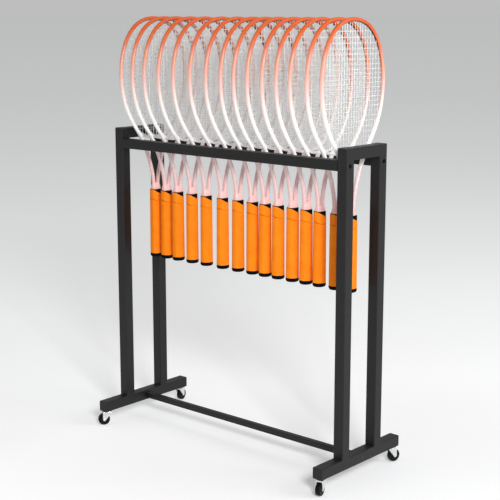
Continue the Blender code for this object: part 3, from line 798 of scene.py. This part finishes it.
bed_bottom = bridge + [point for point in reversed(outline) if point.y > BRIDGE_END_HEIGHT]
main_places = [spread(index, MAINS, MAINS_HALF_WIDTH, MAINS_EVENNESS) for index in range(MAINS)]
cross_places = [
    CROSSES_MIDDLE + spread(index, CROSSES, CROSSES_HALF_HEIGHT, CROSSES_EVENNESS)
    for index in range(CROSSES)
]
string_ends = []
strings = bmesh.new()
for column, y in enumerate(main_places):
    bottom, bottom_way = crossing(bed_bottom, 0, abs(y))
    top, top_way = crossing(outline, 0, abs(y))
    string_ends.append((Vector((0, y, bottom.y)), Vector((0, 0, 1)), abs(bottom_way.x)))
    string_ends.append((Vector((0, y, top.y)), Vector((0, 0, -1)), abs(top_way.x)))
    points = [Vector((0, y, bottom.y))]
    for row, z in enumerate(cross_places):
        if bottom.y + FRAME_TUBE / 2 < z < top.y - FRAME_TUBE / 2:
            points.append(Vector((WEAVE * (-1) ** (column + row), y, z)))
    points.append(Vector((0, y, top.y)))
    thread(strings, points, Matrix.Identity(4))
for row, z in enumerate(cross_places):
    edge, way = crossing(outline, 1, z)
    string_ends.append((Vector((0, -edge.x, z)), Vector((0, 1, 0)), abs(way.y)))
    string_ends.append((Vector((0, edge.x, z)), Vector((0, -1, 0)), abs(way.y)))
    points = [Vector((0, -edge.x, z))]
    for column, y in enumerate(main_places):
        if abs(y) < edge.x - FRAME_TUBE / 2:
            points.append(Vector((-WEAVE * (-1) ** (column + row), y, z)))
    points.append(Vector((0, edge.x, z)))
    thread(strings, points, Matrix.Rotation(math.radians(90), 4, "X"))
bmesh.ops.recalc_face_normals(strings, faces=strings.faces)
strings_mesh = finished_mesh("strings", strings, nylon_string(), crease=75)

# Grommets: a strip of moulded nylon along the inside of the head, with a short barrel round
# each string, which keeps the string off the edge of its hole. Its colour follows the frame's
# paint, white lower down and orange higher up, and is darkened with painted shade of the head's
# inside, most at the crown, where that side faces down.
STRIP_WIDTH = 4.6 * MM
STRIP_THICKNESS = 1.6 * MM
STRIP_PROUD = 0.5 * MM
STRIP_BOTTOM = 392 * MM
STRIP_SQUARENESS = 5
BARREL = 3 * MM
BARREL_PROUD = 2 * MM
BARREL_LONGEST = 14 * MM
LEAST_STRAIGHT = 0.05
# Painted shade: the strip darkens towards the crown, where the inside of the head is in shade.
GROMMET_PAINT_AND_SHADE = (
    *((392, "#f2eeec"), (430, "#e6d7d2"), (470, "#d9bcb4"), (510, "#d3a69b"), (545, "#cc8d7e")),
    *((570, "#c4745f"), (592, "#b45a42"), (610, "#8e3c28"), (628, "#5e2014"), (648, "#35100a")),
    (680, "#1e0705"),
)


def grommet_nylon_with_painted_shade():
    """Moulded nylon with a matt skin."""
    made, tree, shader = new_material("grommet_nylon_with_painted_shade")
    # The fade carries the painted shade of the head's inside.
    tree.links.new(height_fade(tree, GROMMET_PAINT_AND_SHADE), shader.inputs["Base Color"])
    skin = number_range(tree, grain(tree, 2 * MM), 0.45, 0.6)
    tree.links.new(skin, shader.inputs["Roughness"])
    return made


grommets = bmesh.new()
strip_path = both_sides([point for point in outline if point.y > STRIP_BOTTOM])
strip_ring = oval_ring(grommets, STRIP_WIDTH, STRIP_THICKNESS, STRIP_SQUARENESS, sides=12)
inwards = Vector((0, (FRAME_TUBE - STRIP_THICKNESS) / 2 + STRIP_PROUD, 0))
bmesh.ops.translate(grommets, verts=strip_ring, vec=inwards)
sweep(grommets, strip_ring, stations(strip_path))
for place, way, straightness in string_ends:
    # A string that leaves the tube on a slant has further to go inside it.
    inside = FRAME_TUBE / 2 / max(straightness, LEAST_STRAIGHT)
    reach = min(inside + BARREL_PROUD, BARREL_LONGEST)
    add_round_bar(grommets, place, place + way * reach, BARREL / 2, sides=8)
bmesh.ops.recalc_face_normals(grommets, faces=grommets.faces)
grommets_mesh = finished_mesh("grommets", grommets, grommet_nylon_with_painted_shade(), crease=50)

# The grip: soft polyurethane tape wound up the eight-sided handle in orange. Its last turn
# ends on a slant, which bares a wedge of the black sleeve at the top. One lap shows below it.
# The rings' heights are in millimetres.
GRIP_BOTTOM = 10.2 * MM
GRIP_TOP = 197 * MM
GRIP_WIDTH = 36 * MM
GRIP_TOP_WIDTH = 34 * MM
GRIP_FLATNESS = 0.94
GRIP_CORNERS = 16
GRIP_RINGS = (12, 40, 80, 120, 150, 161)
WEDGE_RINGS = (175, 182, 189, 196)
WEDGE_WAY = Vector((0.75, 0.66))
WEDGE_START = -7 * MM
WEDGE_DEPTH = 14 * MM
WEDGE_CURVE = 1.3
WEDGE_FOOT = WEDGE_RINGS[0] * MM
LAP_HEIGHT = 167 * MM
LAP_SLANT = 0.25
LAP_HALF = 1 * MM
LAP_DEPTH = 2.2 * MM
TAPE = 1.6 * MM
TAPE_LOWER_EDGE = 0.5 * MM
TAPE_UPPER_EDGE = 0.3 * MM
TAPE_UPPER_STEP = 0.4 * MM


def grip_tape():
    """Tacky polyurethane: matt, with a fine leather-like grain drawn a little coarse."""
    made, tree, shader = new_material("orange_grip_tape", specular_ior_level=0.2)
    fine = grain(tree, 1.2 * MM, detail=4, roughness=0.6)
    clouds = grain(tree, 25 * MM)
    tree.links.new(two_tone(tree, clouds, "#f57f03", "#fb8709"), shader.inputs["Base Color"])
    tree.links.new(number_range(tree, fine, 0.6, 0.75), shader.inputs["Roughness"])
    bump(tree, shader, fine, 0.08 * MM)
    return made


def handle_ring(bm, sides=64):
    """A ring of eight flats one unit across, with rounded corners."""
    ring = bmesh.ops.create_circle(bm, segments=sides, radius=1.0)["verts"]
    for vert in ring:
        angle = math.atan2(vert.co.y, vert.co.x)
        flats = sum(abs(math.cos(angle - k * math.pi / 4)) ** GRIP_CORNERS for k in range(4))
        vert.co *= 0.5 * flats ** (-1 / GRIP_CORNERS)
    return ring


def handle_solid(levels):
    """A solid of that section through (height, width across flats) levels."""
    bm = bmesh.new()
    places = []
    for height, width in levels:
        size = Matrix.Diagonal((width * GRIP_FLATNESS, width, 1, 1))
        places.append(Matrix.Translation((0, 0, height)) @ size)
    sweep(bm, handle_ring(bm), places)
    bmesh.ops.recalc_face_normals(bm, faces=bm.faces)
    return bm


def grip_level(height, sunk=0):
    """The grip's (height, width) at a height, with its surface sunk that deep."""
    share = (height - GRIP_BOTTOM) / (GRIP_TOP - GRIP_BOTTOM)
    return height, GRIP_WIDTH + (GRIP_TOP_WIDTH - GRIP_WIDTH) * share - 2 * sunk


wrap = handle_solid(
    [
        (GRIP_BOTTOM, GRIP_WIDTH - TAPE),
        (GRIP_BOTTOM + TAPE_LOWER_EDGE, GRIP_WIDTH),
        *(grip_level(height * MM) for height in GRIP_RINGS),
        (LAP_HEIGHT - LAP_HALF, grip_level(LAP_HEIGHT)[1]),
        grip_level(LAP_HEIGHT, sunk=LAP_DEPTH),
        (LAP_HEIGHT + LAP_HALF, grip_level(LAP_HEIGHT)[1]),
        *(grip_level(height * MM) for height in WEDGE_RINGS),
        (GRIP_TOP - TAPE_UPPER_EDGE, GRIP_TOP_WIDTH - TAPE_UPPER_STEP),
        (GRIP_TOP, GRIP_TOP_WIDTH - TAPE),
    ]
)
for vert in wrap.verts:
    across = WEDGE_WAY.dot(vert.co.xy)
    above = (vert.co.z - WEDGE_FOOT) / (GRIP_TOP - WEDGE_FOOT)
    if above > 0 and across > WEDGE_START:
        share = (across - WEDGE_START) / (GRIP_TOP_WIDTH / 2 - WEDGE_START)
        vert.co.z -= WEDGE_DEPTH * share**WEDGE_CURVE * above
    if abs(vert.co.z - LAP_HEIGHT) < LAP_HALF + SAME_PLACE:
        vert.co.z -= LAP_SLANT * across
wrap_mesh = finished_mesh("wrap", wrap, grip_tape(), crease=60)

# The butt cap and the sleeve at the grip's top: black rubber, moulded with the handle's eight
# flats. The cap is a little wider than the grip and its lower edge is rounded. Both are given
# as (height, width) points in millimetres.
CAP = (
    *((0, 28.5), (0.5, 30.5), (1.6, 33), (3, 35), (4.8, 36.3), (6.2, 36.5)),
    *((9.4, 36.5), (10.2, 36), (10.6, 34)),
)
SLEEVE = ((168, 31.6), (196.2, 32), (197.6, 31.6), (198.4, 29.8))


def black_rubber():
    """Moulded rubber: nearly black, matt, with a slight bloom."""
    made, tree, shader = new_material("black_rubber", specular_ior_level=0.05)
    bloom = grain(tree, 6 * MM)
    tree.links.new(two_tone(tree, bloom, "#040404", "#080707"), shader.inputs["Base Color"])
    tree.links.new(number_range(tree, bloom, 0.5, 0.65), shader.inputs["Roughness"])
    return made


rubber = black_rubber()
cap_mesh = finished_mesh("cap", handle_solid(in_mm(CAP)), rubber, crease=60)
sleeve_mesh = finished_mesh("sleeve", handle_solid(in_mm(SLEEVE)), rubber, crease=60)

# Every racket is a copy of these pieces, at the place of its grip.
for node in sorted(node for node in frame["nodes"] if node.endswith("_grip")):
    name = node.removesuffix("_grip")
    low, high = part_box(node)
    butt = Matrix.Translation(((low.x + high.x) / 2, 0, low.z))
    for part, mesh, slot, replaced in (
        ("moulding", moulding_mesh, "racket_frame", [f"{name}_frame"]),
        ("strings", strings_mesh, "racket_frame", []),
        ("grommets", grommets_mesh, "racket_frame", []),
        ("wrap", wrap_mesh, "racket_grip", [node]),
        ("butt_cap", cap_mesh, "racket_grip", []),
        ("sleeve", sleeve_mesh, "racket_grip", []),
    ):
        copy = mesh.copy()
        copy.transform(butt)
        place_piece(f"{name}_{part}", copy, name, replaced)


# The room: a wide matt white floor and a grey surround under soft boxes. Seen directly or in
# a reflection, the floor has a glow of its own, which makes it white near the rack and grey far
# behind it, and the surround is a little brighter than the light that it casts. The glow's
# (nearness, grey) stops run from far away, at 0, to within its reach, at 1.
FLOOR_SIZE = 400.0
FLOOR_WHITE = "#eff0f1"
GLOW_MIDDLE = (1.2, -0.2, 0.0)
GLOW_REACH = 0.8
GLOW_GREYS = (
    *((0, "#6e6e6e"), (0.08, "#818181"), (0.16, "#919191"), (0.28, "#979797")),
    *((0.4, "#929292"), (0.5, "#909090"), (0.64, "#7d7d7d"), (0.8, "#6f6f6f"), (1, "#686868")),
)
SURROUND = "#bebebe"
SURROUND_LIGHT = 0.78
LAMPS_AIM = (0, 0, 0.7)


def seen_share(tree):
    """One for what the camera, a mirror or a clear piece shows, none for light that is cast."""
    path = add_node(tree, "LightPath").outputs
    bounced = {0: path["Is Glossy Ray"], 1: path["Is Transmission Ray"]}
    reflected = add_node(tree, "Math", bounced, operation="MAXIMUM").outputs[0]
    seen = {0: path["Is Camera Ray"], 1: reflected}
    return add_node(tree, "Math", seen, operation="MAXIMUM").outputs[0]


def floor_material():
    """Matt white paint, which keeps the rack's soft shadow, and its glow."""
    made = bpy.data.materials.new("pale_floor")
    made.use_nodes = True
    tree = made.node_tree
    ends = {0: object_coordinates(tree), 1: GLOW_MIDDLE}
    distance = add_node(tree, "VectorMath", ends, operation="DISTANCE").outputs["Value"]
    nearness = add_node(tree, "Math", {0: GLOW_REACH, 1: distance}, operation="DIVIDE")
    ramp = add_node(tree, "ValToRGB", {"Fac": nearness.outputs[0]})
    fill_ramp(ramp, GLOW_GREYS)
    light = {"Color": ramp.outputs["Color"], "Strength": seen_share(tree)}
    glow = add_node(tree, "Emission", light)
    paint = add_node(tree, "BsdfDiffuse", {"Color": linear(FLOOR_WHITE)})
    both = add_node(tree, "AddShader", {0: paint.outputs[0], 1: glow.outputs[0]})
    tree.links.new(both.outputs[0], tree.nodes["Material Output"].inputs["Surface"])
    return made


floor_mesh = bmesh.new()
bmesh.ops.create_grid(floor_mesh, x_segments=1, y_segments=1, size=FLOOR_SIZE / 2)
floor_data = bpy.data.meshes.new("floor")
floor_mesh.to_mesh(floor_data)
floor_mesh.free()
floor_data.materials.append(floor_material())
floor = bpy.data.objects.new("floor", floor_data)
bpy.context.scene.collection.objects.link(floor)

world = bpy.data.worlds.new("studio")
world.use_nodes = True
tree = world.node_tree
strengths = {"To Min": SURROUND_LIGHT, "To Max": 1.0}
strength = add_node(tree, "MapRange", {"Value": seen_share(tree), **strengths})
surround = tree.nodes["Background"]
surround.inputs["Color"].default_value = linear(SURROUND)
tree.links.new(strength.outputs["Result"], surround.inputs["Strength"])
bpy.context.scene.world = world


def soft_lamp(name, heading, height_angle, distance, size, power):
    """A square soft box turned towards the rack from a heading and an angle above the floor."""
    about = Matrix.Rotation(math.radians(heading), 3, "Z")
    upwards = Matrix.Rotation(math.radians(-height_angle), 3, "Y")
    way = about @ upwards @ Vector((1, 0, 0))
    data = bpy.data.lights.new(name, "AREA")
    data.size = size
    data.energy = power
    lamp = bpy.data.objects.new(name, data)
    lamp.location = Vector(LAMPS_AIM) + distance * way
    lamp.rotation_euler = (-way).to_track_quat("-Z", "Y").to_euler()
    lamp.visible_camera = False
    bpy.context.scene.collection.objects.link(lamp)


soft_lamp("key", heading=-35, height_angle=22, distance=4.0, size=0.9, power=125)
soft_lamp("fill", heading=30, height_angle=25, distance=4.0, size=2.0, power=42)
